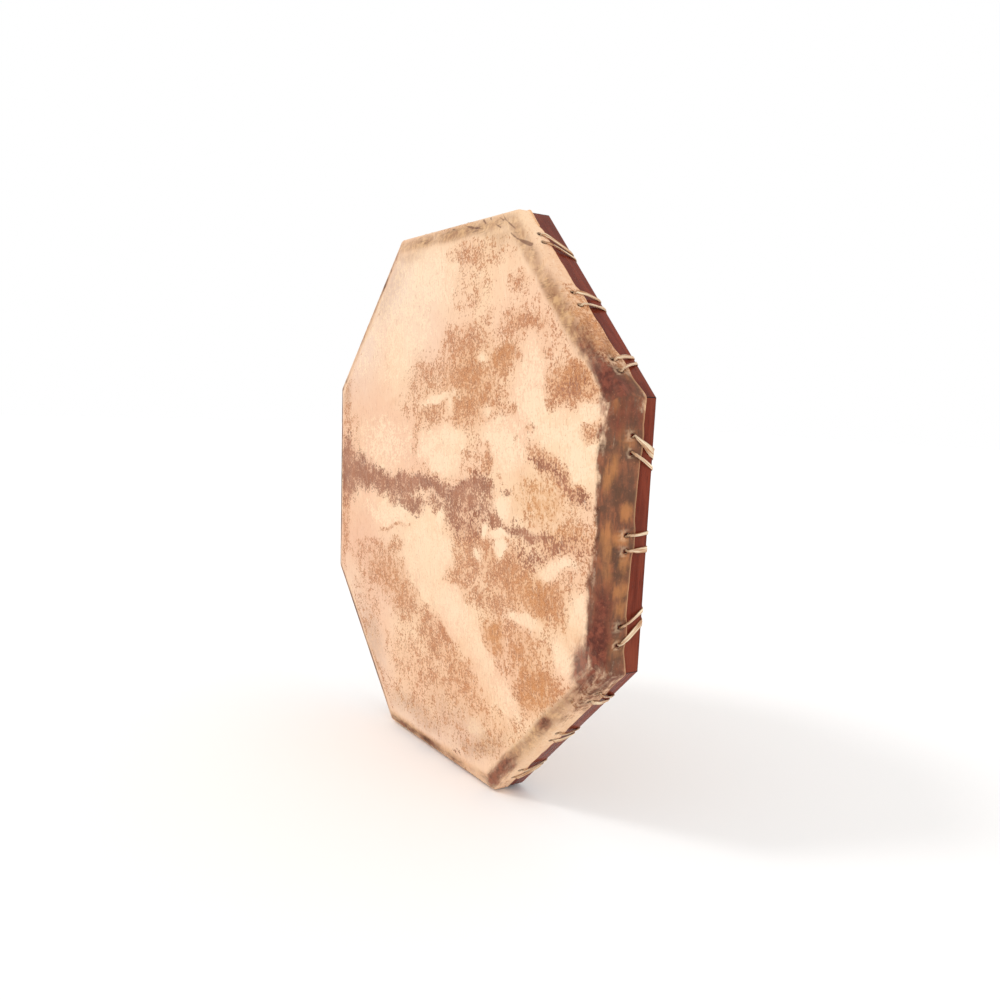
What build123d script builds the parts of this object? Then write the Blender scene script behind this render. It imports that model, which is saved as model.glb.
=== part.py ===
from build123d import *

import os
from math import cos, hypot, radians, sin, tan

# Octagonal hoop drum. Eight mitred boards make the frame, one rawhide is stretched over its
# front, and rawhide thongs run from holes in the hem over the back edge to eight bound spokes,
# which meet in the hand grip.
#
# Millimetres. X is to the right, Y runs from the playing face to the back, and Z is up. The drum
# stands on its lowest side. The origin is on the ground, below the middle of the drum's box.

# Frame
SIDES = 8
APOTHEM = 300.0  # drum axis to the outside of a board
DEPTH = 45.0  # playing face to the back of the boards
BOARD_THICKNESS = 19.0
BEARING_WIDTH = 3.0  # flat lip along the inside of each board, which carries the head
BEVEL_FALL = 4.8  # how far the bevel falls back from that lip to the outside of the board
BOARD_SHOULDER = 5.0  # rounding of the board's outer front edge
ARRIS = 2.0  # rounding of the board's back edges
SEAT_GAP = 0.05  # between the boards and the hide that they carry

# Drumhead
HIDE = 1.2  # thickness of the rawhide
HEM_CORNER_DEPTH = 30.0  # playing face to the cut edge, at the corners of the drum
HEM_MIDDLE_DEPTH = 25.0  # the same at the middle of a side, where the edge curves in
HEM_CLEARANCE = 1.4  # the hem stands off the boards, over the thongs that pass beneath it
HIDE_ROUNDING = 4.0  # outer rounding along the shoulder and down the corners

# Lace holes, in pairs along each side
PAIRS = (1, 0, -1)
PAIR_PITCH = 85.0
HOLE_PITCH = 16.0
HOLE_DEPTH = 17.0  # playing face to the hole's centre
HOLE_DIAMETER = 4.0

# Thongs: flat rawhide, bunched up where they pass through a hole
THONG_WIDTH = 6.0
THONG = 1.3  # thickness
BUNCHED = 3.2  # width in the hole and under the hem
RIM_SPACING = 13.0  # between the two strands of a pair where they cross the back edge
RIM_LEAN = 14.0  # how far the outer pairs lean to the middle of the side by then
START_LAP = 2.5  # flat strand in front of the hole's centre

# Spokes: the six strands of a side lie on each other in six layers
LAYER_PITCH = 1.5
LAYERS_APART = 3  # between the two strands of one pair
GATHER_RADIUS = 180.0  # drum axis to where the six strands meet
WRAP = 1.6  # thickness of the winding round a spoke
WRAP_CLEARANCE = 0.2  # between the bundle and its winding
WRAP_START = 5.0  # from the gathering point in to the end of the winding

# Hand grip
GRIP_APOTHEM = 26.0
GRIP_THICKNESS = 20.0
GRIP_ROUNDING = 3.0
STRAND_END = 14.0  # drum axis to the ends of the strands inside the grip

HEM_APOTHEM = APOTHEM + HEM_CLEARANCE + HIDE
HALF_THONG = THONG / 2
BUNDLE_LAYERS = 2 * len(PAIRS)
BUNDLE_HEIGHT = (BUNDLE_LAYERS - 1) * LAYER_PITCH + THONG
SPOKE_DEPTH = DEPTH + HALF_THONG
OVERALL_DEPTH = SPOKE_DEPTH + GRIP_THICKNESS / 2
FACE_Y = -OVERALL_DEPTH / 2
CENTRE = Vector(0, FACE_Y, HEM_APOTHEM + THONG)
HALF_SIDE_ANGLE = 180 / SIDES


def across(depth):
    """Plane square to the drum axis, at a depth behind the playing face, facing the back."""
    return Plane(origin=CENTRE + Vector(0, depth, 0), x_dir=(1, 0, 0), z_dir=(0, 1, 0))


def out_from(angle):
    """Unit vector from the drum axis to the side at that angle."""
    return Vector(cos(radians(angle)), 0, sin(radians(angle)))


def side_plane(angle, radius=0.0):
    """Plane parallel to one side: x along the side, y into the depth, z outwards."""
    outwards = out_from(angle)
    return Plane(
        origin=CENTRE + outwards * radius,
        x_dir=(outwards.Z, 0, -outwards.X),
        z_dir=outwards,
    )


def octagon(apothem):
    """Regular outline with flats to the left, the right, the top and the bottom."""
    return RegularPolygon(apothem, SIDES, major_radius=False, rotation=HALF_SIDE_ANGLE)


def save(part, name):
    part.label = name
    export_step(part, f"parts/{name}.step")


os.makedirs("parts", exist_ok=True)
side_angles = [number * 360 / SIDES for number in range(SIDES)]

# Frame boards. The section is drawn with x into the depth and y outwards from the drum axis.
board_length = 2 * APOTHEM * tan(radians(HALF_SIDE_ANGLE))
inside = APOTHEM - BOARD_THICKNESS
lip_depth = HIDE + SEAT_GAP
for number, angle in enumerate(side_angles, 1):
    along = side_plane(angle).x_dir
    with BuildPart() as board:
        with BuildSketch(Plane(origin=CENTRE, x_dir=(0, 1, 0), z_dir=along)) as section:
            with BuildLine():
                Polyline(
                    (lip_depth, inside),
                    (lip_depth, inside + BEARING_WIDTH),
                    (lip_depth + BEVEL_FALL, APOTHEM),
                    (DEPTH, APOTHEM),
                    (DEPTH, inside),
                    close=True,
                )
            make_face()
            back_corners = section.vertices().group_by(Axis.X)[-1]
            fillet(back_corners, ARRIS)
            shoulder = section.vertices().group_by(Axis.Y)[-1].sort_by(Axis.X)[0]
            fillet(shoulder, BOARD_SHOULDER)
        extrude(amount=board_length, both=True)
        for mitre in (-HALF_SIDE_ANGLE, HALF_SIDE_ANGLE):
            outer_side = side_plane(angle + mitre).x_dir
            keep = Keep.TOP if mitre > 0 else Keep.BOTTOM
            split(bisect_by=Plane(origin=CENTRE, z_dir=outer_side), keep=keep)
    save(board.part, f"frame_board_{number}")

# Drumhead. It lies on the bearing lips and the bevels, and its hem hangs clear of the boards.
bevel_slope = BEVEL_FALL / (BOARD_THICKNESS - BEARING_WIDTH)
crease = inside + BEARING_WIDTH + HIDE * (hypot(1, bevel_slope) - 1) / bevel_slope
shoulder_depth = (HEM_APOTHEM - crease) * bevel_slope
hole_places = [
    (pair * PAIR_PITCH + hand * HOLE_PITCH / 2, HOLE_DEPTH) for pair in PAIRS for hand in (-1, 1)
]
with BuildPart() as drumhead:
    with BuildSketch(across(0)):
        octagon(crease)
    with BuildSketch(across(shoulder_depth)):
        octagon(HEM_APOTHEM)
    loft(ruled=True)
    with BuildSketch(across(shoulder_depth)):
        octagon(HEM_APOTHEM)
    extrude(amount=HEM_CORNER_DEPTH - shoulder_depth)
    hem_plane = drumhead.faces().sort_by(Axis.Y)[-1]
    face_edges = drumhead.edges().group_by(Axis.Y)[0]
    fillet(drumhead.edges() - hem_plane.edges() - face_edges, HIDE_ROUNDING)
    offset(amount=-HIDE, openings=drumhead.faces().sort_by(Axis.Y)[-1])
    for angle in side_angles:
        with BuildSketch(side_plane(angle, APOTHEM)):
            with BuildLine():
                hem_edge = ThreePointArc(
                    (-board_length / 2, HEM_CORNER_DEPTH),
                    (0, HEM_MIDDLE_DEPTH),
                    (board_length / 2, HEM_CORNER_DEPTH),
                )
                Line(hem_edge @ 1, hem_edge @ 0)
            make_face()
            with Locations(*hole_places):
                Circle(HOLE_DIAMETER / 2)
        extrude(amount=2 * HOLE_DIAMETER, mode=Mode.SUBTRACT)
save(drumhead.part, "drumhead")


def strand_route(pair, hand):
    """Points of one strand from its hole to the hand grip: along the side, depth, radius."""
    layer = PAIRS.index(pair) + (LAYERS_APART if hand > 0 else 0)
    layer_depth = SPOKE_DEPTH + (layer - (BUNDLE_LAYERS - 1) / 2) * LAYER_PITCH
    hole = pair * PAIR_PITCH + hand * HOLE_PITCH / 2
    rim = pair * (PAIR_PITCH - RIM_LEAN) + hand * RIM_SPACING / 2
    on_hem = HEM_APOTHEM + HALF_THONG
    corner = ARRIS - (ARRIS + HALF_THONG) * tan(radians(90 / 4))
    reach = DEPTH - HOLE_DEPTH
    past_hem = hole + (rim - hole) * (HEM_CORNER_DEPTH - HOLE_DEPTH) / reach
    start = hole - (rim - hole) * START_LAP / reach
    inner_edge = rim * (inside - GATHER_RADIUS) / (APOTHEM - GATHER_RADIUS)
    return [
        (start, HOLE_DEPTH - START_LAP, on_hem),
        (past_hem, HEM_CORNER_DEPTH, on_hem),
        (rim, DEPTH - corner, APOTHEM + HALF_THONG),
        (rim, SPOKE_DEPTH, APOTHEM - corner),
        (inner_edge, SPOKE_DEPTH, inside),
        (0, layer_depth, GATHER_RADIUS),
        (0, layer_depth, STRAND_END),
    ]


def strand_sections(side, route):
    """Plane and thickness of the strand at each point, mitred between one run and the next."""
    runs = [(b[1] - a[1], b[2] - a[2]) for a, b in zip(route, route[1:])]
    normals = [(-r / hypot(y, r), y / hypot(y, r)) for y, r in runs]
    before = normals[:1] + normals
    after = normals + normals[-1:]
    for point, (y0, r0), (y1, r1) in zip(route, before, after):
        length = hypot(y0 + y1, r0 + r1)
        thickness = THONG * 2 / length
        flat_normal = side.y_dir * ((y0 + y1) / length) + side.z_dir * ((r0 + r1) / length)
        origin = side.from_local_coords(point)
        yield Plane(origin, side.x_dir, side.x_dir.cross(flat_normal)), thickness


# Laces. Each is one thong: it passes under the hem between its two holes, and both strands
# turn over the back edge and run to the hand grip.
for side_number, angle in enumerate(side_angles, 1):
    side = side_plane(angle)
    for pair_number, pair in enumerate(PAIRS, 1):
        with BuildPart() as lace:
            for hand in (-1, 1):
                for plane, thickness in strand_sections(side, strand_route(pair, hand)):
                    with BuildSketch(plane):
                        Rectangle(THONG_WIDTH, thickness)
                loft(ruled=True)
            with BuildSketch(side_plane(angle, APOTHEM)):
                with Locations((pair * PAIR_PITCH, HOLE_DEPTH)):
                    Rectangle(HOLE_PITCH, BUNCHED)
                    with GridLocations(HOLE_PITCH, 0, 2, 1):
                        Circle(BUNCHED / 2)
            extrude(amount=THONG)
            with BuildSketch(side_plane(angle, APOTHEM)):
                with Locations((pair * PAIR_PITCH, HOLE_DEPTH)):
                    with GridLocations(HOLE_PITCH, 0, 2, 1):
                        Circle(BUNCHED / 2)
            extrude(amount=HEM_CLEARANCE + HIDE + THONG)
        save(lace.part, f"lace_{side_number}_{pair_number}")

# Spoke windings, each a sleeve round the six strands of one side.
bore_width = THONG_WIDTH + 2 * WRAP_CLEARANCE
bore_height = BUNDLE_HEIGHT + 2 * WRAP_CLEARANCE
for number, angle in enumerate(side_angles, 1):
    with BuildPart() as wrap:
        with BuildSketch(side_plane(angle, GRIP_APOTHEM)):
            with Locations((0, SPOKE_DEPTH)):
                RectangleRounded(bore_width + 2 * WRAP, bore_height + 2 * WRAP, WRAP)
                Rectangle(bore_width, bore_height, mode=Mode.SUBTRACT)
        extrude(amount=GATHER_RADIUS - WRAP_START - GRIP_APOTHEM)
    save(wrap.part, f"spoke_wrap_{number}")

# Hand grip, a knot wound over the crossing of the spokes, with a pocket for each bundle.
with BuildPart() as hand_grip:
    with BuildSketch(across(SPOKE_DEPTH - GRIP_THICKNESS / 2)):
        octagon(GRIP_APOTHEM)
    extrude(amount=GRIP_THICKNESS)
    fillet(hand_grip.edges(), GRIP_ROUNDING)
    for angle in side_angles:
        with BuildSketch(side_plane(angle, STRAND_END)):
            with Locations((0, SPOKE_DEPTH)):
                Rectangle(bore_width, bore_height)
        extrude(amount=GRIP_APOTHEM, mode=Mode.SUBTRACT)
save(hand_grip.part, "hand_grip")

strand_length = sum(
    hypot(*(end - start for start, end in zip(a, b)))
    for a, b in zip(strand_route(1, 1), strand_route(1, 1)[1:])
)
print(f"outer strand {strand_length:.0f} mm, thong section {THONG_WIDTH * THONG:.1f} mm2")
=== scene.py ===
import math
import random

import bmesh
import bpy
import numpy as np
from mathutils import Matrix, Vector, noise


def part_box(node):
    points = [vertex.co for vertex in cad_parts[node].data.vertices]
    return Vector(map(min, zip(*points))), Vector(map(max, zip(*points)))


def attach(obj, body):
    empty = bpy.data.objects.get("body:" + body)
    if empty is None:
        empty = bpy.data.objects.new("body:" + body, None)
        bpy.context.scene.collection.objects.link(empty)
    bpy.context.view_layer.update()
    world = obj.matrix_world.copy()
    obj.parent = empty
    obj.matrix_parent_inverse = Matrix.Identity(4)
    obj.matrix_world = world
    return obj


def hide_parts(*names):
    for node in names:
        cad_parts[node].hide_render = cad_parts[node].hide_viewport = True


# Octagonal hoop drum: rawhide over eight red-brown boards, laced at the back to bound spokes.
#
# Lengths are millimetres in the drum's own coordinates, and place() turns them into the frame's
# metres. Side 0 is the right one, and the sides are counted round by the top. A point beside a
# side has a distance along it, towards the next side, a depth behind the playing face, and a
# radius, its distance from the drum's axis.

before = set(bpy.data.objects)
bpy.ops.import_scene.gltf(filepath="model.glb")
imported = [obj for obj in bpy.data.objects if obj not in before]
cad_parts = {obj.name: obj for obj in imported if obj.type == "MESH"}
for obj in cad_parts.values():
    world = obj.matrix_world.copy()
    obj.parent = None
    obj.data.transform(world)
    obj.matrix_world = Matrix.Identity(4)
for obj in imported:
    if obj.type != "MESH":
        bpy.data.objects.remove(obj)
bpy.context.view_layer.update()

SIDES = 8
SIDE_ANGLE = 2 * math.pi / SIDES
SLANT = math.tan(SIDE_ANGLE / 2)  # half a side, as a share of its radius
head_low, head_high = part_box("drumhead")
board_low, board_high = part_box("frame_board_1")
wrap_low, wrap_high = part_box("spoke_wrap_1")
grip_low, grip_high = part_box("hand_grip")
FACE = Vector((0, head_low.y, (head_low.z + head_high.z) / 2))
OUTSIDE = board_high.x * 1000
INSIDE = board_low.x * 1000
BACK = (board_high.y - FACE.y) * 1000
SPOKE_DEPTH = ((wrap_low.y + wrap_high.y) / 2 - FACE.y) * 1000
WRAP_OUTER, WRAP_INNER = wrap_high.x * 1000, wrap_low.x * 1000
GRIP_RADIUS = grip_high.x * 1000
GRIP_HALF = (grip_high.y - grip_low.y) * 500

PAIRS = (-1, 0, 1)
PAIR_PITCH = 85.0
HOLE_PITCH = 16.0
GATHER_RADIUS = 180.0
LAYER_PITCH = 1.5


def ways_of(side):
    """Directions outwards from the axis through a side, and along it."""
    angle = side * SIDE_ANGLE
    return Vector((math.cos(angle), 0, math.sin(angle))), Vector((-math.sin(angle), 0, math.cos(angle)))


def place(side, along, depth, radius):
    """World place of a point beside one side of the drum."""
    out, turn = ways_of(side)
    return FACE + (out * radius + turn * along + Vector((0, depth, 0))) / 1000


def ease(value, low, high):
    """0 below low, 1 above high, and a smooth rise between."""
    share = min(max((value - low) / (high - low), 0.0), 1.0)
    return share * share * (3 - 2 * share)


def mix(first, second, share):
    return first + (second - first) * share


# ---- materials


def srgb(red, green, blue):
    """Linear colour of an sRGB one given from 0 to 255."""
    parts = [value / 255 for value in (red, green, blue)]
    linear = [p / 12.92 if p <= 0.04045 else ((p + 0.055) / 1.055) ** 2.4 for p in parts]
    return (*linear, 1.0)


class Nodes:
    """A node tree, with short calls that add to it."""

    def __init__(self, tree):
        self.tree = tree

    def feed(self, socket, value):
        if isinstance(value, bpy.types.NodeSocket):
            self.tree.links.new(value, socket)
        else:
            socket.default_value = value

    def put(self, kind, inputs, **settings):
        node = self.tree.nodes.new(kind)
        for key, value in settings.items():
            setattr(node, key, value)
        for key, value in inputs.items():
            self.feed(node.inputs[key], value)
        return node


class Finish(Nodes):
    """A material, with short calls that add its nodes."""

    def __init__(self, name, roughness, specular=0.2):
        self.material = bpy.data.materials.new(name)
        self.material.use_nodes = True
        super().__init__(self.material.node_tree)
        self.surface = self.tree.nodes["Principled BSDF"]
        self.surface.inputs["Roughness"].default_value = roughness
        self.surface.inputs["Specular IOR Level"].default_value = specular

    def where(self, rotation=(0, 0, 0), scale=(1, 1, 1)):
        """Place from the middle of the playing face, turned and stretched."""
        origin = self.put("ShaderNodeTexCoord", {}).outputs["Object"]
        turned = self.mapped(self.vector("SUBTRACT", origin, FACE), Rotation=rotation)
        return self.mapped(turned, Scale=scale)

    def mapped(self, vector, **settings):
        return self.put("ShaderNodeMapping", {"Vector": vector, **settings}).outputs[0]

    def joined(self, x, y, z=0.0):
        return self.put("ShaderNodeCombineXYZ", {0: x, 1: y, 2: z}).outputs[0]

    def noise(self, where, size, detail=4.0, rough=0.5, distortion=0.0):
        """Noise with features about size millimetres across."""
        inputs = {
            "Vector": where,
            "Scale": 1000 / size,
            "Detail": detail,
            "Roughness": rough,
            "Distortion": distortion,
        }
        return self.put("ShaderNodeTexNoise", inputs).outputs[0]

    def math(self, operation, first, second=0.0, third=0.0):
        inputs = {0: first, 1: second, 2: third}
        return self.put("ShaderNodeMath", inputs, operation=operation).outputs[0]

    def times(self, first, second):
        return self.math("MULTIPLY", first, second)

    def step(self, value, low, high, top=1.0):
        """0 where value is below low, top where it is above high, and smooth between."""
        inputs = {"Value": value, "From Min": low, "From Max": high, "To Max": top}
        kind = "ShaderNodeMapRange"
        return self.put(kind, inputs, interpolation_type="SMOOTHSTEP").outputs[0]

    def blend(self, share, first, second):
        node = self.put("ShaderNodeMix", {0: share, 6: first, 7: second}, data_type="RGBA")
        return node.outputs[2]

    def shades(self, share, first, second):
        """Blend of two colours given as red, green and blue from 0 to 255."""
        return self.blend(share, srgb(*first), srgb(*second))

    def stored(self, name):
        """A field worked out for each vertex."""
        return self.put("ShaderNodeAttribute", {}, attribute_name=name).outputs["Fac"]

    def vector(self, operation, first, second=(0, 0, 0), **settings):
        node = self.put("ShaderNodeVectorMath", {0: first, 1: second}, operation=operation)
        for key, value in settings.items():
            self.feed(node.inputs[key], value)
        return node.outputs["Value" if operation in ("DOT_PRODUCT", "LENGTH") else "Vector"]

    def away_from(self, flat, points):
        """Distance from a line through places on the face, in millimetres."""
        nearest = 1000.0
        for (x0, z0), (x1, z1) in zip(points, points[1:]):
            start, way = Vector((x0, 0, z0)), Vector((x1 - x0, 0, z1 - z0))
            offset = self.vector("SUBTRACT", flat, start)
            share = self.vector("DOT_PRODUCT", offset, way / way.length_squared)
            share = self.math("MAXIMUM", self.math("MINIMUM", share, 1.0), 0.0)
            along = self.vector("SCALE", way, Scale=share)
            distance = self.vector("LENGTH", self.vector("SUBTRACT", offset, along))
            nearest = self.math("MINIMUM", nearest, distance)
        return nearest

    def relief(self, height, depth, strength=1.0):
        inputs = {"Height": height, "Distance": depth / 1000, "Strength": strength}
        self.feed(self.surface.inputs["Normal"], self.put("ShaderNodeBump", inputs).outputs[0])

    def paint(self, colour, roughness=None):
        self.feed(self.surface.inputs["Base Color"], colour)
        if roughness:
            self.feed(self.surface.inputs["Roughness"], roughness)


HAIR_LEAN = (0, 0.25, 0)  # the way the hair lay, a little off upright

# Dark lines painted along the creases where the wet hide was folded over, the shade in the folds: the
# half width, and places right of and above the middle of the face.
CREASES = (
    (0.3, (101, 299), (107, 294), (118, 288), (128, 282)),
    (0.6, (95, 297), (105, 293)),
    (0.4, (77, 299), (86, 293), (103, 286)),
    (0.5, (63, 299), (71, 294)),
    (0.3, (25, 298), (46, 293), (68, 289)),
    (0.4, (1, 297), (18, 296)),
    (0.35, (123, 278), (133, 272), (143, 268), (155, 264)),
)


def wood(side):
    """Satin red-brown stain. The grain runs along the board, the mitres show as dark lines, and a painted
    grey sheen lies along the back edge.
    """
    finish = Finish(f"stained_wood_{side + 1}", 0.42, 0.1)
    turned = (0, side * SIDE_ANGLE, 0)
    local = finish.where(turned)
    shifted = finish.vector("ADD", local, (0.31 * side, 0, 0.7 * side))
    grain = finish.mapped(shifted, Scale=(1, 1, 0.07))
    figure = finish.noise(grain, 9, 5, 0.55, 0.6)
    streak = finish.noise(grain, 1.6, 3, 0.6)
    pores = finish.noise(grain, 0.55, 2, 0.5)
    patches = finish.noise(shifted, 45, 3, 0.5)
    colour = finish.shades(finish.step(figure, 0.36, 0.64), (102, 40, 26), (130, 58, 40))
    colour = finish.blend(finish.step(streak, 0.5, 0.75, 0.5), colour, srgb(80, 28, 18))
    colour = finish.blend(finish.step(pores, 0.6, 0.72, 0.55), colour, srgb(62, 20, 13))
    colour = finish.blend(finish.step(patches, 0.52, 0.75, 0.45), colour, srgb(142, 70, 48))
    parts = finish.put("ShaderNodeSeparateXYZ", {0: local}).outputs
    to_mitre = finish.math("SUBTRACT", finish.times(parts[0], SLANT),
                           finish.math("ABSOLUTE", parts[2]))
    seam = finish.step(to_mitre, 0.0009, 0.0002)
    # Painted grey sheen along the back edge, standing in for light from behind.
    back_edge_sheen = finish.times(finish.step(parts[1], (BACK - 2.5) / 1000, BACK / 1000), 0.35)
    colour = finish.blend(back_edge_sheen, colour, srgb(84, 62, 60))
    colour = finish.blend(seam, colour, srgb(38, 18, 18))
    finish.paint(colour, finish.step(figure, 0.2, 0.9, 0.62))
    height = finish.math("SUBTRACT", finish.times(streak, 0.4), seam)
    finish.relief(finish.math("SUBTRACT", height, finish.step(pores, 0.58, 0.72)), 0.12, 0.7)
    return finish.material


class Hide(Finish):
    """Peach rawhide with the stains of the coat it carried, and some painted light and shade."""

    def __init__(self, name):
        super().__init__(name, 0.5)
        where = self.where()
        beside = self.joined(self.times(self.stored("run"), 0.3), self.stored("drop"))
        self.cloud = self.noise(where, 34, 5, 0.6, 0.4)
        self.coarse = self.noise(where, 21, 5, 0.6, 0.4)
        self.middle = self.noise(where, 7.5, 5, 0.65, 0.2)
        self.grain = self.noise(where, 1.4, 2, 0.6)
        self.streak = self.noise(beside, 5.5, 5, 0.62, 0.5)
        fine = self.noise(where, 2.6, 3, 0.6)
        fibre = self.noise(self.where(HAIR_LEAN, (1, 1, 0.34)), 4.2, 4, 0.6, 0.5)
        self.crumbs = self.grains_of((self.coarse, 2.2), (self.middle, 3.0), (fibre, 1.3), (fine, 3.8))
        self.smears = self.grains_of(
            (self.cloud, 1.7), (self.middle, 0.8), (self.streak, 1.3), (fine, 0.4)
        )
        broad = self.step(self.noise(where, 120, 3, 0.5), 0.35, 0.65)
        self.colour = self.shades(broad, (246, 204, 170), (250, 214, 176))

    def speckled(self, field, grains, soft):
        """Mask that covers about as much as a smooth field says, in crumbled patches."""
        spread = self.times(grains, self.step(field, 0.0, 0.2))
        return self.step(self.math("ADD", field, spread), 0.5 - soft, 0.5 + soft)

    def grains_of(self, *layers):
        """Sum of noises centred on 0, each with its weight."""
        total = 0.0
        for layer, weight in layers:
            centred = self.math("SUBTRACT", total, weight / 2)
            total = self.math("MULTIPLY_ADD", layer, weight, centred)
        return total

    def lay(self, mask, shade, share=1.0):
        """Lays a shade, or red, green and blue from 0 to 255, over the colour so far."""
        if share != 1.0:
            mask = self.times(mask, share)
        shade = srgb(*shade) if isinstance(shade, tuple) else shade
        self.colour = self.blend(mask, self.colour, shade)

    def lay_ground(self):
        self.lay(self.step(self.cloud, 0.5, 0.75, 0.5), (236, 188, 150))
        self.lay(self.step(self.middle, 0.55, 0.75, 0.35), (232, 184, 146))
        self.lay(self.stored("blush"), (230, 172, 140), 0.8)
        # Pale pink patches, at the top left a painted highlight.
        self.lay(self.stored("bloom"), (238, 212, 194), 0.75)
        bare = self.speckled(self.stored("bare"), self.crumbs, 0.3)
        self.lay(bare, (254, 226, 192), 0.75)

    def lay_flakes(self):
        """Tan and dark patches of the coat, which crumble into flakes at their edges."""
        tan = self.math("MULTIPLY_ADD", self.stored("bare"), -0.7, self.stored("tan"))
        self.lay(self.step(tan, 0.0, 0.9, 0.62), (222, 164, 118))
        shade = self.shades(self.step(self.middle, 0.38, 0.62), (144, 77, 45), (186, 116, 72))
        salt = self.math("MULTIPLY_ADD", self.step(self.grain, 0.4, 0.58), 0.5, 0.4)
        self.lay(self.times(self.speckled(tan, self.crumbs, 0.16), salt), shade)

        sienna = self.times(self.stored("sienna"), self.step(self.middle, 0.25, 0.6))
        self.lay(sienna, (212, 146, 82), 0.6)

        umber = self.math("MULTIPLY_ADD", self.stored("bare"), -0.5, self.stored("umber"))
        self.lay(self.step(umber, 0.1, 1.0, 0.52), (178, 116, 86))
        shade = self.shades(self.step(self.cloud, 0.35, 0.65), (126, 76, 58), (162, 106, 80))
        shade = self.blend(self.step(self.grain, 0.42, 0.66, 0.6), shade, srgb(194, 136, 102))
        self.lay(self.speckled(umber, self.crumbs, 0.26), shade, 0.86)

        hair = self.noise(self.where(HAIR_LEAN, (1, 1, 0.16)), 1.9, 3, 0.6, 0.5)
        self.lay(self.step(hair, 0.55, 0.72, 0.36), (184, 122, 80))
        self.lay(self.step(hair, 0.45, 0.28, 0.34), (255, 234, 206))

    def lay_rim(self):
        """Grey on the bevel, and brown, gold and russet on the hem, the brown partly painted shade. Gives
        the grey's mask.
        """
        grey = self.times(self.stored("grey"), self.step(self.cloud, 0.05, 0.5))
        shade = self.shades(self.step(self.middle, 0.4, 0.65), (150, 100, 62), (208, 164, 114))
        self.lay(grey, shade, 0.8)

        # Dark brown on the right side and on the far bevels: partly stain, partly painted shade where the
        # rim turns away from the light.
        shade = self.shades(self.step(self.streak, 0.36, 0.64), (82, 35, 20), (142, 74, 42))
        blot = self.grains_of((self.coarse, 1.6), (self.middle, 0.7), (self.streak, 0.5))
        blot = self.times(self.step(blot, -0.2, 0.25), 0.85)
        shade = self.blend(blot, shade, srgb(54, 23, 14))
        gold = self.times(self.speckled(self.stored("gold"), self.smears, 0.6), 0.55)
        shade = self.blend(gold, shade, srgb(212, 138, 74))
        self.lay(self.speckled(self.stored("smoke"), self.smears, 0.45), shade, 0.92)
        shade = self.shades(self.step(self.middle, 0.4, 0.62), (86, 36, 28), (136, 70, 52))
        self.lay(self.speckled(self.stored("russet"), self.smears, 0.6), shade, 0.86)
        return grey

    def lay_creases(self, grey):
        """Painted shade in the fine creases where the hide is grey, and in the long ones. Gives the masks
        of both.
        """
        fine = self.noise(self.where((0, 0.14, 0), (0.09, 1, 1)), 3.0, 3, 0.55, 0.8)
        fine = self.times(self.step(fine, 0.58, 0.68), self.step(grey, 0.3, 0.8))
        self.lay(fine, (108, 72, 50), 0.4)
        flat = self.vector("MULTIPLY", self.where(), (1000, 0, 1000))
        wave = self.math("MULTIPLY_ADD", self.cloud, 7.0, -3.5)
        long = 0.0
        for half_width, *points in CREASES:
            distance = self.math("ADD", self.away_from(flat, points), wave)
            line = self.step(distance, half_width + 1.0, half_width - 0.3)
            long = self.math("MAXIMUM", long, line)
        self.lay(long, (104, 62, 46), 0.72)
        return fine, long

    def lay_holes(self):
        # Pale streaks above the holes, and a painted highlight on the lip of each hole.
        self.lay(self.stored("pucker_and_lip_highlight"), (255, 222, 184), 0.42)
        # Painted shade in and round each lace hole.
        self.lay(self.stored("hole"), (48, 26, 20), 0.9)
        self.lay(self.stored("edge"), (226, 172, 126), 0.55)


def rawhide_head(name, tint):
    """The head's material. tint moves it towards the colour of the cut edge."""
    hide = Hide(name)
    hide.lay_ground()
    hide.lay_flakes()
    fine, long = hide.lay_creases(hide.lay_rim())
    hide.lay_holes()
    hide.lay(hide.step(hide.noise(hide.where(), 2.1, 2, 0.5), 0.62, 0.74, 0.5), (176, 116, 82))
    hide.colour = hide.blend(tint, hide.colour, srgb(228, 194, 158))
    hide.paint(hide.colour, hide.step(hide.coarse, -0.4, 1.2, 1.0))
    height = hide.math("MULTIPLY_ADD", hide.grain, 0.6, hide.times(hide.middle, 0.7))
    height = hide.math("MULTIPLY_ADD", fine, -0.8, height)
    height = hide.math("MULTIPLY_ADD", long, -1.2, height)
    hide.relief(height, 0.35, 0.6)
    return hide.material


def rawhide_strip(name, light, dark, roughness):
    """Translucent rawhide strip, streaked along its length, with painted shade at its edges."""
    finish = Finish(name, roughness, 0.25)
    where = finish.where()
    across = finish.stored("across")
    on_strip = finish.joined(across, finish.stored("length"), finish.stored("seed"))
    streak = finish.noise(finish.mapped(on_strip, Scale=(0.004, 0.06, 1)), 1.6, 4, 0.6)
    blotch = finish.noise(where, 22, 4, 0.6, 0.3)
    fine = finish.noise(where, 0.9, 3, 0.6)
    colour = finish.blend(finish.step(streak, 0.34, 0.66), dark, light)
    colour = finish.blend(finish.step(blotch, 0.54, 0.72, 0.45), colour, srgb(200, 142, 88))
    # Painted shade at the strip's edges, where they curl away from the light.
    edge = finish.step(finish.math("ABSOLUTE", across), 0.72, 1.0, 0.45)
    colour = finish.blend(edge, colour, srgb(150, 96, 60))
    finish.paint(colour)
    height = finish.math("ADD", streak, finish.times(fine, 0.35))
    finish.relief(height, 0.3, 0.8)
    return finish.material


# ---- mesh helpers


def add(name, data):
    obj = bpy.data.objects.new(name, data)
    bpy.context.scene.collection.objects.link(obj)
    return obj


def make_object(name, mesh, finishes):
    obj = add(name, mesh)
    for finish in finishes:
        mesh.materials.append(finish)
    mesh.polygons.foreach_set("use_smooth", [True] * len(mesh.polygons))
    return obj


def store(mesh, name, values):
    mesh.attributes.new(name, "FLOAT", "POINT").data.foreach_set("value", values)


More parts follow.
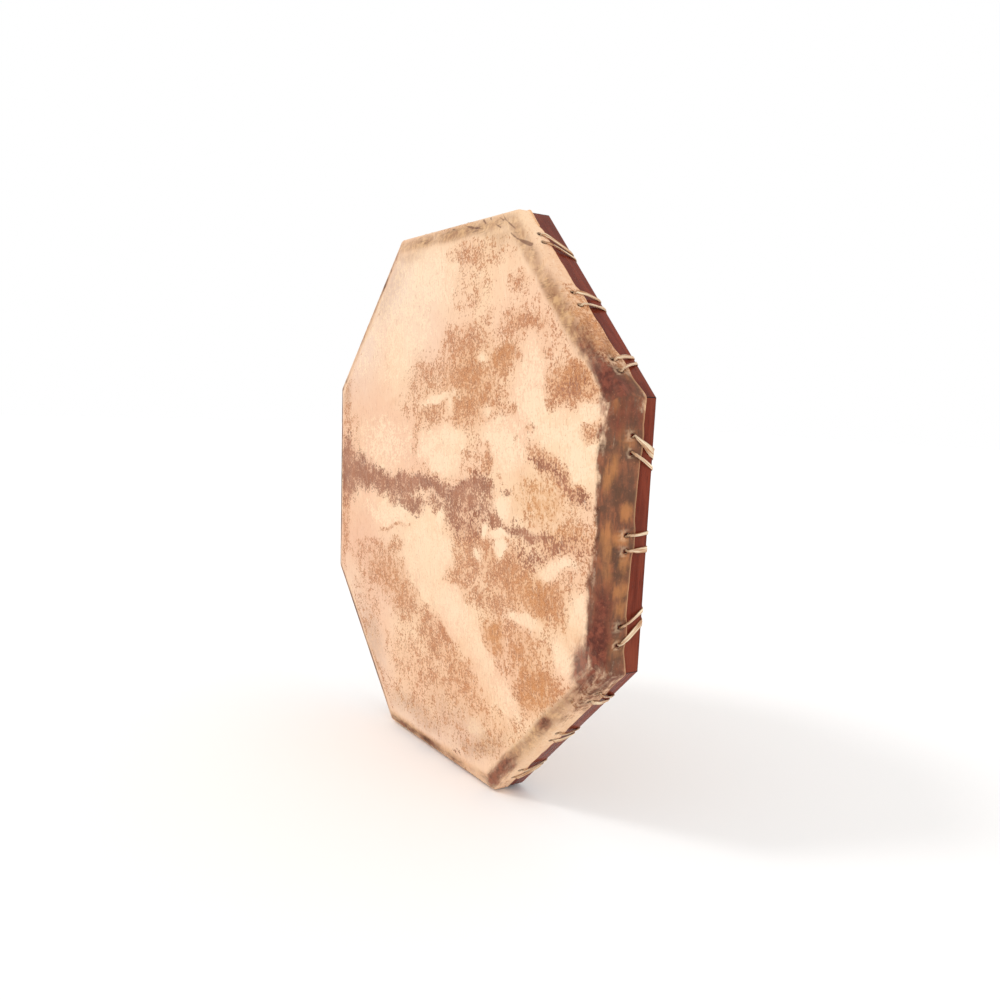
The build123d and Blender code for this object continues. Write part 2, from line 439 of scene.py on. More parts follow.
def curve_through(stations, steps):
    """Centripetal Catmull-Rom curve through rows of numbers that start with a place.

    steps is the number of pieces of each span. The rows keep their other numbers in step."""
    rows = [np.array(row, float) for row in stations]
    rows = [2 * rows[0] - rows[1], *rows, 2 * rows[-1] - rows[-2]]
    made = []
    for number, pieces in enumerate(steps):
        group = rows[number:number + 4]
        knots = [0.0]
        for before, after in zip(group, group[1:]):
            knots.append(knots[-1] + max(np.linalg.norm(after[:3] - before[:3]), 1e-6) ** 0.5)
        last = number == len(steps) - 1
        for t in np.linspace(knots[1], knots[2], pieces + 1)[:None if last else -1]:
            level = group
            for order in (1, 2, 3):
                spans = [(knots[k], knots[k + order]) for k in range(4 - order)]
                if order == 3:
                    spans = [(knots[1], knots[2])]
                level = [
                    before + (after - before) * (t - low) / (high - low)
                    for before, after, (low, high) in zip(level, level[1:], spans)
                ]
            made.append(level[0])
    return made


STRIP_POINTS = 7


def strip_mesh(bm, rows, seed, closed=False):
    """Adds a flat strip to bm. A row has a place, a flat normal, and then a width, a thickness, a
    curl of the edges and a pleat along the middle, all in drum millimetres."""
    fields = bm.verts.layers.float
    across_layer, length_layer, seed_layer = (fields[name] for name in ("across", "length", "seed"))
    loops = []
    travelled = 0.0
    for number, row in enumerate(rows):
        before = rows[number - 1] if closed or number else row
        after = rows[(number + 1) % len(rows)] if closed or number + 1 < len(rows) else row
        travelled += np.linalg.norm(row[:3] - before[:3]) if number else 0
        tangent = Vector(after[:3] - before[:3]).normalized()
        sideways = tangent.cross(Vector(row[3:6])).normalized()
        normal = sideways.cross(tangent)
        width, thickness, curl, pleat = row[6:10]
        loop = []
        for face in (1, -1):
            order = range(STRIP_POINTS) if face > 0 else reversed(range(STRIP_POINTS))
            for point in order:
                across = 2 * point / (STRIP_POINTS - 1) - 1
                bow = curl * across * across + pleat * math.cos(across * 4.2)
                half = thickness / 2 * (0.45 + 0.55 * math.sqrt(1 - across * across * 0.98))
                spot = Vector(row[:3]) + sideways * (across * width / 2) + normal * (bow + face * half)
                vertex = bm.verts.new(FACE + spot / 1000)
                vertex[across_layer] = across
                vertex[length_layer] = travelled / 1000
                vertex[seed_layer] = seed
                loop.append(vertex)
        loops.append(loop)
    count = 2 * STRIP_POINTS
    spans = list(zip(loops, loops[1:])) + ([(loops[-1], loops[0])] if closed else [])
    for first, second in spans:
        for k in range(count):
            bm.faces.new((first[k], first[(k + 1) % count], second[(k + 1) % count], second[k]))
    if not closed:
        bm.faces.new(loops[0][::-1])
        bm.faces.new(loops[-1])


def new_strips():
    bm = bmesh.new()
    for name in ("across", "length", "seed"):
        bm.verts.layers.float.new(name)
    return bm


def finish_strips(bm, name, finish):
    bmesh.ops.recalc_face_normals(bm, faces=bm.faces)
    mesh = bpy.data.meshes.new(name)
    bm.to_mesh(mesh)
    bm.free()
    return make_object(name, mesh, [finish])


def declare(obj, node):
    """Says that an object stands for a node of the frame, and hides the node's own part."""
    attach(obj, "root")
    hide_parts(node)


def local(side, along, depth, radius):
    """Point beside a side, in millimetres from the middle of the playing face."""
    return (place(side, along, depth, radius) - FACE) * 1000


# ---- drumhead

HIDE = 1.2
LIP = 3.0
BEVEL = 0.3
CREASE = INSIDE + LIP
SNUG = OUTSIDE + HIDE + 0.25  # outer radius of the hem where it lies on the boards
SHOULDER = 5.5
CORNER = 6.0
FIELD_RINGS = 56
FIELD_RADIUS = 262.0
HOLE_HALF_BLOCK = 5.0
HOLE_WIDE, HOLE_TALL = 2.0, 3.1  # half sizes

# For each side: depth of its holes, and of the cut edge near its two ends. CORNER_EDGES gives the
# cut edge at the corner that follows each side.
HEMS = (
    (18.6, 23.5, 29.5),
    (15.2, 27.0, 19.8),
    (16.4, 22.5, 25.5),
    (17.2, 26.0, 23.5),
    (16.6, 24.0, 27.0),
    (17.6, 27.0, 25.0),
    (16.8, 24.5, 23.0),
    (15.8, 22.6, 25.6),
)
CORNER_EDGES = (32.0, 20.5, 28.0, 27.5, 30.0, 29.0, 24.0, 28.5)

# Pairs that are uneven: where each strand's hole lies along the side, how much deeper than usual it
# is, where the strand crosses the back edge, and its width there.
UNEVEN_PAIRS = {
    (0, 1): ((76, 0, 62.5, 3.4), (91, 0.4, 75, 8.4)),
    (0, 0): ((-10.5, 0.3, -10, 5.8), (4, 0, 5, 3.2)),
    (0, -1): ((-96, -1.7, -77, 5.6), (-79, -0.4, -66, 4.0)),
    (1, 1): ((75, -1, 58, 3.2), (87, -0.5, 65, 3.4)),
    (1, 0): ((-12.3, -0.6, -12, 6.0), (4.5, -0.6, -1, 3.2)),
    (1, -1): ((-96, 1.7, -82.5, 3.6), (-82, 1.6, -75.5, 3.6)),
    (7, 1): ((79, 0, 69, 4.2), (94, 0.4, 77, 5.4)),
    (7, 0): ((-3.4, 0.5, -3, 3.4), (12, -0.2, 8, 4.8)),
    (7, -1): ((-93, 0.4, -76, 6.5), (-75, 0, -66, 4.2)),
}
jitter = random.Random(7)
strands = {}
for side in range(SIDES):
    for pair in PAIRS:
        widths = jitter.choice(((4.0, 6.4), (6.0, 3.8), (5.2, 4.6)))
        for number, hand in enumerate((-1, 1)):
            strands[side, pair, hand] = (
                pair * PAIR_PITCH + hand * HOLE_PITCH / 2 + jitter.uniform(-0.9, 0.9),
                jitter.uniform(-0.7, 0.7),
                pair * 71 + hand * 6.3 + jitter.uniform(-1.6, 1.6),
                widths[number],
            )
            if (side, pair) in UNEVEN_PAIRS:
                strands[side, pair, hand] = UNEVEN_PAIRS[side, pair][number]
holes = {key: (row[0], HEMS[key[0]][0] + row[1]) for key, row in strands.items()}


def hole_line(side, along):
    beyond = HEMS[(side + (1 if along > 0 else -1)) % SIDES][0]
    return mix(HEMS[side][0], beyond, ease(abs(along), 103, 125) / 2)


def hem_edge(side, along):
    _, first, last = HEMS[side]
    edge = mix(first, last, (along + 100) / 200)
    corner = CORNER_EDGES[side if along > 0 else side - 1]
    edge = mix(edge, corner, ease(abs(along), 96, 125))
    for pair in PAIRS:
        edge += 1.7 * (1 - ease(abs(along - pair * PAIR_PITCH), 5, 17))
    spot = place(side, along, 0, OUTSIDE)
    return edge + 0.8 * noise.noise(spot * 55) + 0.35 * noise.noise(spot * 190)


def near_holes(side, along, depth, reach):
    """1 in a hole, falling to 0 at the given reach from it."""
    found = 0.0
    for (owner, _, _), (hole_along, hole_depth) in holes.items():
        if owner == side:
            distance = math.hypot(along - hole_along, depth - hole_depth)
            found = max(found, 1 - ease(distance, 0, reach))
    return found


def hem_lift(side, along, depth):
    """How far the hem stands off, over the bridges of the laces and along its cut edge."""
    level = hole_line(side, along)
    over = max(1 - ease(abs(along - pair * PAIR_PITCH), 9, 19) for pair in PAIRS)
    lift = 0.75 * over * ease(depth, level - 8, level - 2.5)
    spot = place(side, along, depth, OUTSIDE)
    edge = hem_edge(side, along)
    flare = 0.3 + 0.35 * noise.noise(spot * 38)
    lift += flare * ease(depth, edge - 6, edge) * (1 - max(over, ease(abs(along), 100, 116)))
    lift += 0.22 * noise.noise(spot * 90) * ease(depth, 9, 14)
    ridge = math.cos(along * 1.15) * over * ease(depth, 8, level) * (1 - ease(depth, level, level + 4))
    return lift + 0.15 * ridge + 0.3 * near_holes(side, along, depth, 4.6)


def rounded(along, radius, rounding):
    """A point of an octagon's outline, moved onto its rounded corner."""
    start = (radius - rounding) * SLANT
    past = abs(along) - start
    if past <= 0 or rounding == 0:
        return along, radius
    turn = SIDE_ANGLE / 2 * past / (rounding * SLANT)
    moved = start + rounding * math.sin(turn)
    return math.copysign(moved, along), radius - rounding * (1 - math.cos(turn))


def face_point(side, share, radius, depth):
    """Point of the face, the bevel or the shoulder. share is the part of the half side."""
    rounding = CORNER * ease(radius, FIELD_RADIUS, CREASE)
    along, radius = rounded(share * radius * SLANT, radius, rounding)
    spot = place(side, along, depth, radius)
    slack = 1 - ease(radius, FIELD_RADIUS, CREASE)
    wave = 0.35 * noise.noise(spot * 11) + 0.12 * noise.noise(spot * 34)
    return spot + Vector((0, wave * slack / 1000, 0))


def hem_point(side, along, depth):
    lift = hem_lift(side, along, depth)
    along, radius = rounded(along, SNUG, CORNER)
    return place(side, along, depth, radius + lift)


# Columns along half a side, with the blocks that hold the holes, and the rows of the hem.
block = HOLE_PITCH
stops = (0, block, PAIR_PITCH - block, PAIR_PITCH, PAIR_PITCH + block, 122.4, SNUG * SLANT)
counts = (8, 20, 8, 8, 8, 4)
half_columns = [0.0]
for low, high, count in zip(stops, stops[1:], counts):
    half_columns += [mix(low, high, (k + 1) / count) for k in range(count)]
columns = [-c for c in half_columns[:0:-1]] + half_columns
column_shares = [c / (SNUG * SLANT) for c in columns]
PER_SIDE = len(columns) - 1
BLOCK_ROWS = 5

bevel_angle = math.atan(BEVEL)
tangent_length = SHOULDER * math.tan((math.pi / 2 - bevel_angle) / 2)
shoulder_end = (SNUG - CREASE) * BEVEL + tangent_length


def hem_row_depth(side, along, row):
    level = hole_line(side, along)
    top, bottom = level - HOLE_HALF_BLOCK, level + HOLE_HALF_BLOCK
    if row == 1:
        return (shoulder_end + top) / 2
    if row <= 2 + BLOCK_ROWS:
        return top + (row - 2) * 2 * HOLE_HALF_BLOCK / BLOCK_ROWS
    return mix(bottom, hem_edge(side, along), (row - 2 - BLOCK_ROWS) / 3)


def stitch(bm, inner, outer, skip=()):
    """Faces between two rings, of which the outer one has as many points or twice as many."""
    count = len(inner)
    for k in range(count):
        after = (k + 1) % count
        if len(outer) == count:
            if k not in skip:
                bm.faces.new((inner[k], outer[k], outer[after], inner[after]))
            continue
        first, middle, last = outer[2 * k], outer[2 * k + 1], outer[(2 * k + 2) % len(outer)]
        bm.faces.new((inner[k], first, middle))
        bm.faces.new((inner[k], middle, inner[after]))
        bm.faces.new((inner[after], middle, last))


def ring_at(bm, shares, radius, depth=0.0):
    return [bm.verts.new(face_point(s, share, radius, depth)) for s in range(SIDES) for share in shares]


def field_of_head(bm):
    """The flat field, as rings of triangles round the middle. Gives the outermost ring."""
    ring = [bm.verts.new(face_point(0, 0, 0, 0))]
    for number in range(1, FIELD_RINGS + 1):
        radius = FIELD_RADIUS * number / FIELD_RINGS
        shares = [2 * k / number - 1 for k in range(number)]
        outer = ring_at(bm, shares, radius)
        for side in range(SIDES):
            inner_side = [ring[(side * (number - 1) + k) % len(ring)] for k in range(number)]
            outer_side = [outer[(side * number + k) % len(outer)] for k in range(number + 1)]
            for k in range(number):
                bm.faces.new((inner_side[k], outer_side[k], outer_side[k + 1]))
                if k + 1 < number:
                    bm.faces.new((inner_side[k], outer_side[k + 1], inner_side[k + 1]))
        ring = outer
    return ring


def bevel_of_head(bm, ring):
    """From the field over the crease, the bevel and the shoulder to the start of the hem."""
    for number, radius in enumerate((267, 272, 276, 279.5), 1):
        even = [2 * k / FIELD_RINGS - 1 for k in range(FIELD_RINGS)]
        shares = [mix(e, c, number / 4) for e, c in zip(even, column_shares[::2])]
        outer = ring_at(bm, shares, radius)
        stitch(bm, ring, outer)
        ring = outer
    softness = 1.7
    profile = []
    for radius in (281.5, 283, 284.6, 286.4, 289, 292, 295):
        profile.append((radius, BEVEL * softness * math.log1p(math.exp((radius - CREASE) / softness))))
    for step in range(7):
        angle = (math.pi / 2 - bevel_angle) * (1 - step / 6)
        profile.append((SNUG - SHOULDER + SHOULDER * math.cos(angle),
                        shoulder_end - SHOULDER * math.sin(angle)))
    for radius, depth in profile:
        outer = ring_at(bm, column_shares[:-1], radius, depth)
        stitch(bm, ring, outer)
        ring = outer
    return ring


def hem_of_head(bm, ring):
    """The hem, with a block of faces left out round each hole and filled by a ringed patch."""
    rows = [ring]
    for row in range(1, 6 + BLOCK_ROWS):
        rows.append([
            bm.verts.new(hem_point(side, along, hem_row_depth(side, along, row)))
            for side in range(SIDES) for along in columns[:-1]
        ])
    blocks = {key: columns.index(key[1] * PAIR_PITCH + min(key[2], 0) * block) for key in holes}
    left_out = {key[0] * PER_SIDE + first + k for key, first in blocks.items() for k in range(8)}
    for row, (inner, outer) in enumerate(zip(rows, rows[1:])):
        stitch(bm, inner, outer, left_out if 2 <= row < 2 + BLOCK_ROWS else ())
    for key, first in blocks.items():
        patch_hole(bm, rows, key, first)


def patch_hole(bm, rows, key, first):
    side = key[0]
    top, bottom, last = 2, 2 + BLOCK_ROWS, first + 8
    border = [(first, row) for row in range(top, bottom)]
    border += [(column, bottom) for column in range(first, last)]
    border += [(last, row) for row in range(bottom, top, -1)]
    border += [(column, top) for column in range(last, first, -1)]
    ring = [rows[row][(side * PER_SIDE + column) % len(rows[row])] for column, row in border]
    places = [(columns[column], hem_row_depth(side, columns[column], row)) for column, row in border]
    middle = holes[key]
    for step in (0.3, 0.55, 0.78, 0.9, 1.0):
        outer = ring
        ring = []
        for along, depth in places:
            way = math.atan2(depth - middle[1], along - middle[0])
            rim = (middle[0] + HOLE_WIDE * math.cos(way), middle[1] + HOLE_TALL * math.sin(way))
            spot = hem_point(side, mix(along, rim[0], step), mix(depth, rim[1], step))
            ring.append(bm.verts.new(spot))
        for k in range(len(ring)):
            after = (k + 1) % len(ring)
            bm.faces.new((outer[k], outer[after], ring[after], ring[k]))


# Stains of the hide, some of them partly painted shade: middle right of and above the middle of the
# face, the two half sizes, the strength, and for some a turn in degrees.
STAINS = {
    "umber": (
        (-274, 16, 40, 32, 1.15), (-222, 18, 44, 19, 1.1, -6), (-176, 10, 36, 10, 0.95, -10),
        (-140, 6, 36, 12, 1.0, -6), (-108, -2, 34, 15, 0.9), (-86, 12, 44, 8, 1.05, 3),
        (-30, 15, 54, 8, 1.05), (22, 14, 44, 8, 0.95, 2), (58, 22, 36, 7, 1.05, 6), (92, 22, 20, 10, 0.9),
        (70, 2, 64, 20, 0.62), (20, -4, 44, 14, 0.7), (-66, -10, 28, 10, 0.9, -12), (-104, -14, 24, 8, 0.5),
        (30, -20, 24, 12, 0.7, -15), (60, -22, 40, 8, 0.6), (118, 4, 26, 14, 0.6), (132, 22, 9, 7, 0.7),
        (120, -14, 26, 6, 0.7), (172, -12, 44, 5, 0.9, 3), (195, -32, 34, 10, 0.45),
        (240, -20, 30, 10, 0.5, 8), (215, 50, 48, 4, 0.7, -18), (258, 36, 22, 5, 0.6, -12),
        (15, -289, 90, 3, 0.6), (226, 130, 30, 10, 0.35),
    ),
    "tan": (
        (50, 135, 56, 52, 0.8), (118, 160, 28, 14, 0.95), (105, 115, 32, 28, 0.5), (-45, 125, 58, 52, 0.45),
        (-40, 146, 46, 14, 0.62, 5), (-35, 100, 42, 14, 0.62, 5), (20, 178, 32, 16, 0.6),
        (158, 190, 38, 8, 0.85), (130, 198, 14, 8, 0.6), (228, 130, 34, 17, 1.0), (244, 142, 20, 12, 1.1),
        (204, 118, 10, 10, 0.8), (271, 90, 10, 8, 1.0), (142, 108, 8, 6, 0.9), (170, 92, 12, 6, 0.9),
        (145, 84, 7, 6, 0.7), (50, 262, 62, 14, 0.5), (62, 226, 14, 12, 0.5), (143, 232, 16, 10, 0.6),
        (40, 236, 50, 26, 0.32), (-62, 70, 18, 24, 0.5), (60, 50, 70, 28, 0.3), (100, 52, 8, 16, 0.8, -10),
        (200, 58, 46, 12, 0.75, -25), (240, 44, 32, 9, 0.8, -20), (190, 80, 26, 9, 0.42, -15),
        (10, 32, 100, 10, 0.4), (190, 20, 44, 22, 0.3), (240, -22, 50, 34, 0.6),
        (200, 160, 70, 40, 0.3, -45), (70, -45, 64, 30, 0.7), (140, -55, 60, 30, 0.78),
        (200, -72, 42, 24, 0.95), (120, -88, 74, 18, 0.62), (38, -80, 38, 14, 0.6),
        (250, -56, 24, 26, 0.45), (120, -130, 20, 18, 0.85), (160, -130, 64, 36, 0.52),
        (200, -165, 40, 28, 0.85, 10), (226, -120, 26, 22, 0.45), (-84, -125, 34, 36, 0.6),
        (-150, -105, 64, 28, 0.58), (-180, -82, 64, 14, 0.45, 8), (-120, -72, 32, 8, 0.6, 8),
        (-112, -42, 40, 4, 0.7, 10), (-10, -160, 54, 24, 0.68, -24), (50, -186, 54, 22, 0.62, -30),
        (0, -206, 64, 22, 0.52, -10), (92, -216, 54, 24, 0.42, -20), (150, -216, 42, 26, 0.38),
        (-60, -200, 64, 30, 0.36), (-40, -250, 120, 24, 0.3), (60, -252, 76, 20, 0.36),
        (-200, -160, 50, 50, 0.26), (-276, -70, 12, 64, 0.5), (-272, 110, 12, 44, 0.4),
        (-250, 150, 34, 34, 0.24), (-230, 62, 54, 26, 0.24), (-20, -70, 100, 60, 0.2),
        # The last stain on this line and the first two on the next are thin dark lines along the inner edge
        # of the left-hand bevels, partly stain and partly painted shade where the bevel turns away.
        (-10, 66, 90, 26, 0.22), (150, 150, 90, 60, 0.22), (-198, -198, 100, 4, 0.7, -45),
        (-281, 0, 4, 110, 0.7), (-199, 199, 100, 3, 0.5, 45), (10, -148, 24, 4, 1.1, -22),
        (70, 196, 30, 10, 0.4, 30),
    ),
    "sienna": (
        (196, 22, 40, 16, 0.9), (172, 40, 18, 8, 0.6), (120, -130, 18, 18, 0.9), (186, -140, 30, 26, 0.6),
        (204, -168, 28, 22, 0.8), (190, -72, 40, 20, 0.7), (116, 163, 24, 12, 0.6),
        (-120, -110, 50, 24, 0.4), (252, -95, 16, 16, 0.5), (60, 130, 50, 30, 0.4), (240, -5, 34, 14, 0.45),
        (236, 138, 28, 14, 0.5), (90, -190, 60, 40, 0.35, -30), (-20, -90, 60, 30, 0.2),
    ),
    "blush": (
        (-230, 100, 80, 70, 0.5), (-120, 60, 70, 40, 0.35), (-230, -70, 70, 50, 0.6),
        (-200, -160, 60, 50, 0.5), (-60, -220, 70, 40, 0.35), (-150, -110, 80, 30, 0.4),
        (-280, 0, 20, 160, 0.7),
    ),
    # Pale pink patches; those along the top left are a painted highlight.
    "bloom": (
        (-236, 205, 62, 80, 1.0, -45), (-150, 246, 80, 44, 0.85), (-70, 220, 60, 60, 0.45),
        (-40, -276, 110, 20, 0.7), (60, -262, 60, 24, 0.6), (-190, -196, 90, 30, 0.6, -45),
        (-150, -120, 70, 50, 0.25),
    ),
    "bare": (
        # The first patch, at the top left, is partly a painted highlight.
        (-48, 246, 56, 22, 0.8), (-10, 118, 40, 4, 1.1, 5), (16, 112, 6, 10, 0.8), (18, 74, 26, 12, 0.9),
        (-30, 60, 30, 14, 0.9), (-4, 45, 26, 12, 0.9), (130, 76, 28, 20, 0.8), (174, 124, 20, 38, 0.8),
        (252, 66, 20, 14, 1.0), (226, 84, 30, 8, 0.9), (262, 108, 9, 7, 0.9), (130, 8, 13, 11, 1.5),
        (128, -35, 10, 8, 1.5), (124, -23, 15, 3, 1.4, 15), (80, -46, 10, 6, 0.9),
        (230, -42, 30, 7, 0.9, 20), (262, -72, 12, 14, 0.9), (244, -120, 14, 16, 0.9),
        (-30, -70, 40, 34, 0.9), (-100, -22, 16, 12, 0.9), (-44, -100, 30, 14, 0.9, -30),
        (26, -112, 44, 16, 0.9, -20), (4, -58, 24, 18, 0.9), (98, -160, 36, 12, 0.9, -45),
        (150, -190, 24, 16, 0.6), (90, -238, 14, 8, 0.6), (2, -16, 5, 14, 1.2), (96, -22, 5, 7, 1.2),
        (-150, 60, 60, 24, 0.6), (92, 104, 9, 8, 0.7), (78, 158, 8, 6, 0.9), (175, -100, 26, 7, 0.8),
        (210, 84, 40, 14, 0.6), (-140, -30, 50, 10, 0.8), (-240, 216, 60, 60, 0.5),
        (-120, 210, 70, 60, 0.5),
    ),
    # Painted shade along the right crease.
    "smoke": (
        (285, 60, 5, 70, 0.85), (285, -20, 5, 50, 0.8), (284, -80, 6, 46, 1.15, 4),
    ),
    "russet": (
        # The first two darken the face's two corners beside the right side.
        (276, -115, 10, 34, 1.25, -22), (281, 112, 6, 24, 0.5, 22),
    ),
    "grey": (
        (-96, 279, 36, 9, 0.4), (60, 286, 56, 6, 0.55, -4), (104, 276, 26, 8, 0.5, -20),
        (-178, -204, 20, 34, 0.4, 45), (-52, -264, 70, 11, 0.4), (104, -256, 46, 12, 0.5, 20),
        (-270, 118, 13, 17, 0.35), (40, -240, 60, 20, 0.25), (-150, 250, 20, 40, 0.3, -45),
    ),
}

# Stains of the bevel and the hem, some of them partly painted shade: side, distance along it, distance
# across from the shoulder (the bevel is the negative part), the two half sizes and the strength.
RIM_STAINS = {
    "grey": (
        (1, -5, -9, 64, 11, 1.1), (1, 84, -9, 50, 10, 0.85), (1, -56, -4, 26, 12, 1.0),
        (1, -72, 20, 26, 7, 0.35), (2, 0, -8, 130, 10, 1.0), (3, 0, -6, 110, 8, 0.6),
        (5, 0, -6, 110, 8, 0.7), (6, -30, -6, 110, 8, 1.0), (7, -10, -9, 110, 11, 0.95),
    ),
    # Partly stain and partly painted shade: dark brown on the right side, and dark lines along the far
    # bevels.
    "smoke": (
        (0, 0, 14, 128, 28, 1.6), (0, 0, -8, 130, 11, 1.3), (1, -120, 8, 28, 28, 1.3),
        (1, -84, 14, 20, 10, 0.5), (3, 112, -4, 20, 6, 0.7), (4, 0, -5, 112, 8, 1.2),
        (4, 10, 14, 70, 12, 0.6), (5, -60, -4, 66, 6, 1.0), (5, 40, -4, 56, 6, 0.9),
        (7, 120, -6, 10, 10, 0.6), (3, -60, -4, 50, 5, 0.6), (6, -40, -3, 80, 5, 0.75),
    ),
    "gold": (
        (0, 24, 17, 6, 6, 0.95), (0, 0, 12, 6, 10, 1.0), (0, -8, -4, 18, 7, 0.85),
        (0, -28, -3, 14, 6, 0.75), (0, -19, 18, 8, 6, 0.95), (0, -46, 17, 7, 8, 0.9),
        (0, -62, 18, 7, 6, 0.8), (0, 117, -3, 6, 4, 0.9), (0, 66, -1, 9, 5, 0.75), (0, 52, -9, 9, 4, 0.7),
        (0, 88, 14, 12, 9, 0.5), (0, -100, 12, 8, 8, 0.45), (1, -84, 22, 16, 4, 0.6),
    ),
    "russet": (
        (1, -86, -3, 34, 10, 1.25), (1, -62, -10, 12, 7, 0.7), (1, -114, 4, 14, 14, 0.8),
        (0, 110, 10, 16, 22, 0.6), (0, -62, -6, 24, 9, 0.75), (0, -98, -8, 26, 12, 1.3),
        (7, 108, -10, 17, 8, 1.1), (7, 15, -8, 12, 7, 1.0), (7, -96, -6, 36, 9, 1.1),
        (7, -50, -6, 24, 4, 0.4), (7, 124, 14, 7, 12, 0.4), (5, -100, -2, 30, 10, 0.6),
        (3, 30, -3, 14, 6, 0.6),
    ),
    "tan": (
        (1, -24, 14, 30, 12, 0.6), (1, -52, 14, 30, 14, 1.0), (7, 84, 14, 30, 14, 0.4),
        (2, 0, 14, 60, 12, 0.4), (3, 0, 14, 60, 14, 0.5), (4, 0, 14, 110, 16, 0.6),
        (5, -40, 14, 60, 14, 0.4), (6, 20, 14, 90, 12, 0.5),
    ),
    "sienna": (
        (1, -20, 14, 36, 14, 0.6), (1, 40, 16, 40, 8, 0.35), (7, 20, 14, 80, 12, 0.4),
        (0, -10, 16, 60, 10, 0.4), (3, 40, 14, 50, 12, 0.5), (6, -40, 14, 50, 12, 0.5),
    ),
}


DRIFTS = ((42, 9), (15, 6))  # length of the waves that shift the stains, and how far they do


def wander(x, z):
    """Moves each point a little, so that the stains lose their even outlines."""
    def drift(a, b, level):
        spot = Vector((a, b, level))
        return sum(noise.noise(spot / length) * reach for length, reach in DRIFTS)

    sideways = [drift(a, b, 100) for a, b in zip(x, z)]
    upwards = [drift(a, b, 700) for a, b in zip(x, z)]
    return x + sideways, z + upwards


def stain_field(stains, x, z):
    """Smooth field from 0 up, made of soft ellipses."""
    total = np.zeros(len(x))
    for middle_x, middle_z, half_x, half_z, strength, *turn in stains:
        angle = math.radians(sum(turn))
        u = (x - middle_x) * math.cos(angle) + (z - middle_z) * math.sin(angle)
        v = (z - middle_z) * math.cos(angle) - (x - middle_x) * math.sin(angle)
        total = np.maximum(total, strength * soft_ellipse(u / half_x, v / half_z))
    return total


def soft_ellipse(u, v):
    """1 in the middle, about a half where u and v make a unit circle, and 0 far out."""
    return np.exp(-0.6 * (u * u + v * v) ** 1.3)


def rim_field(stains, owner, along, across):
    total = np.zeros(len(along))
    for side, middle_along, middle_across, half_along, half_across, strength in stains:
        v = (across - middle_across) / half_across
        for step in (-1, 0, 1):  # a stain may run on round a corner
            u = (along + step * 2 * SNUG * SLANT - middle_along) / half_along
            total = np.maximum(total, strength * soft_ellipse(u, v) * (owner == (side + step) % SIDES))
    return total


def stain_head(mesh):
    """Stores the fields that the hide's material reads."""
    spots = np.empty(len(mesh.vertices) * 3, np.float32)
    mesh.vertices.foreach_get("co", spots)
    x, depth, z = ((spots.reshape(-1, 3) - np.array(FACE)) * 1000).T
    angles = np.arange(SIDES) * SIDE_ANGLE
    reach = np.outer(x, np.cos(angles)) + np.outer(z, np.sin(angles))
    owner = reach.argmax(axis=1)
    apothem = reach.max(axis=1)
    along = z * np.cos(angles[owner]) - x * np.sin(angles[owner])
    across = depth + apothem - SNUG
    bent = wander(x, z)
    # 0 on the face and 1 on the bevel and the hem, with an uneven change near the crease.
    rim = np.clip((apothem + 0.3 * (bent[0] - x) - CREASE + 3.5) / 6, 0, 1)
    rim = np.maximum(rim, np.clip((depth - 2) / 2, 0, 1))
    for name in sorted({*STAINS, *RIM_STAINS}):
        on_face = stain_field(STAINS.get(name, ()), *bent)
        on_rim = rim_field(RIM_STAINS.get(name, ()), owner, along, across)
        store(mesh, name, mix(on_face, on_rim, rim))
    store(mesh, "run", along / 1000 + owner)
    store(mesh, "drop", across / 1000)
    store(mesh, "pucker_and_lip_highlight", pucker_and_lip_highlight_field(owner, along, depth) * rim)
    store(mesh, "hole", hole_shade_field(owner, along, depth))
    low_hem = depth > 14  # no cut edge lies above this
    edges = np.full(len(depth), np.inf)
    edges[low_hem] = [hem_edge(*spot) for spot in zip(owner[low_hem].tolist(), along[low_hem])]
    store(mesh, "edge", np.clip((depth - edges + 1.6) / 1.2, 0, 1))


def hole_shade_field(owner, along, depth):
    """Painted shade: 1 at the rim of each lace hole, falling to 0 a little way out."""
    total = np.zeros(len(along))
    for (side, _, _), (hole_along, hole_depth) in holes.items():
        out = np.hypot((along - hole_along) / HOLE_WIDE, (depth - hole_depth) / HOLE_TALL)
        total = np.maximum(total, np.clip((1.4 - out) / 0.4, 0, 1) * (owner == side))
    return total


def pucker_and_lip_highlight_field(owner, along, depth):
    """Pale streaks that run from each pair of holes up to the shoulder, and a painted highlight on the lip
    of each hole.
    """
    total = np.zeros(len(along))
    for (side, _, hand), (hole_along, hole_depth) in holes.items():
        here = owner == side
        offset = along - hole_along
        fan = np.clip(np.cos(offset * 1.5) * 1.3 - 0.3, 0, 1) * np.exp(-(offset / 7.0) ** 4)
        rise = np.exp(-((depth - hole_depth + 3.5) / 4.5) ** 2)
        out = np.hypot(offset / HOLE_WIDE, (depth - hole_depth + 1.2) / HOLE_TALL)
        rim = np.exp(-((out - 1.55) / 0.25) ** 2) * (depth < hole_depth - 1)
        total = np.maximum(total, np.maximum(fan * rise * 0.7, rim) * here)
    return total


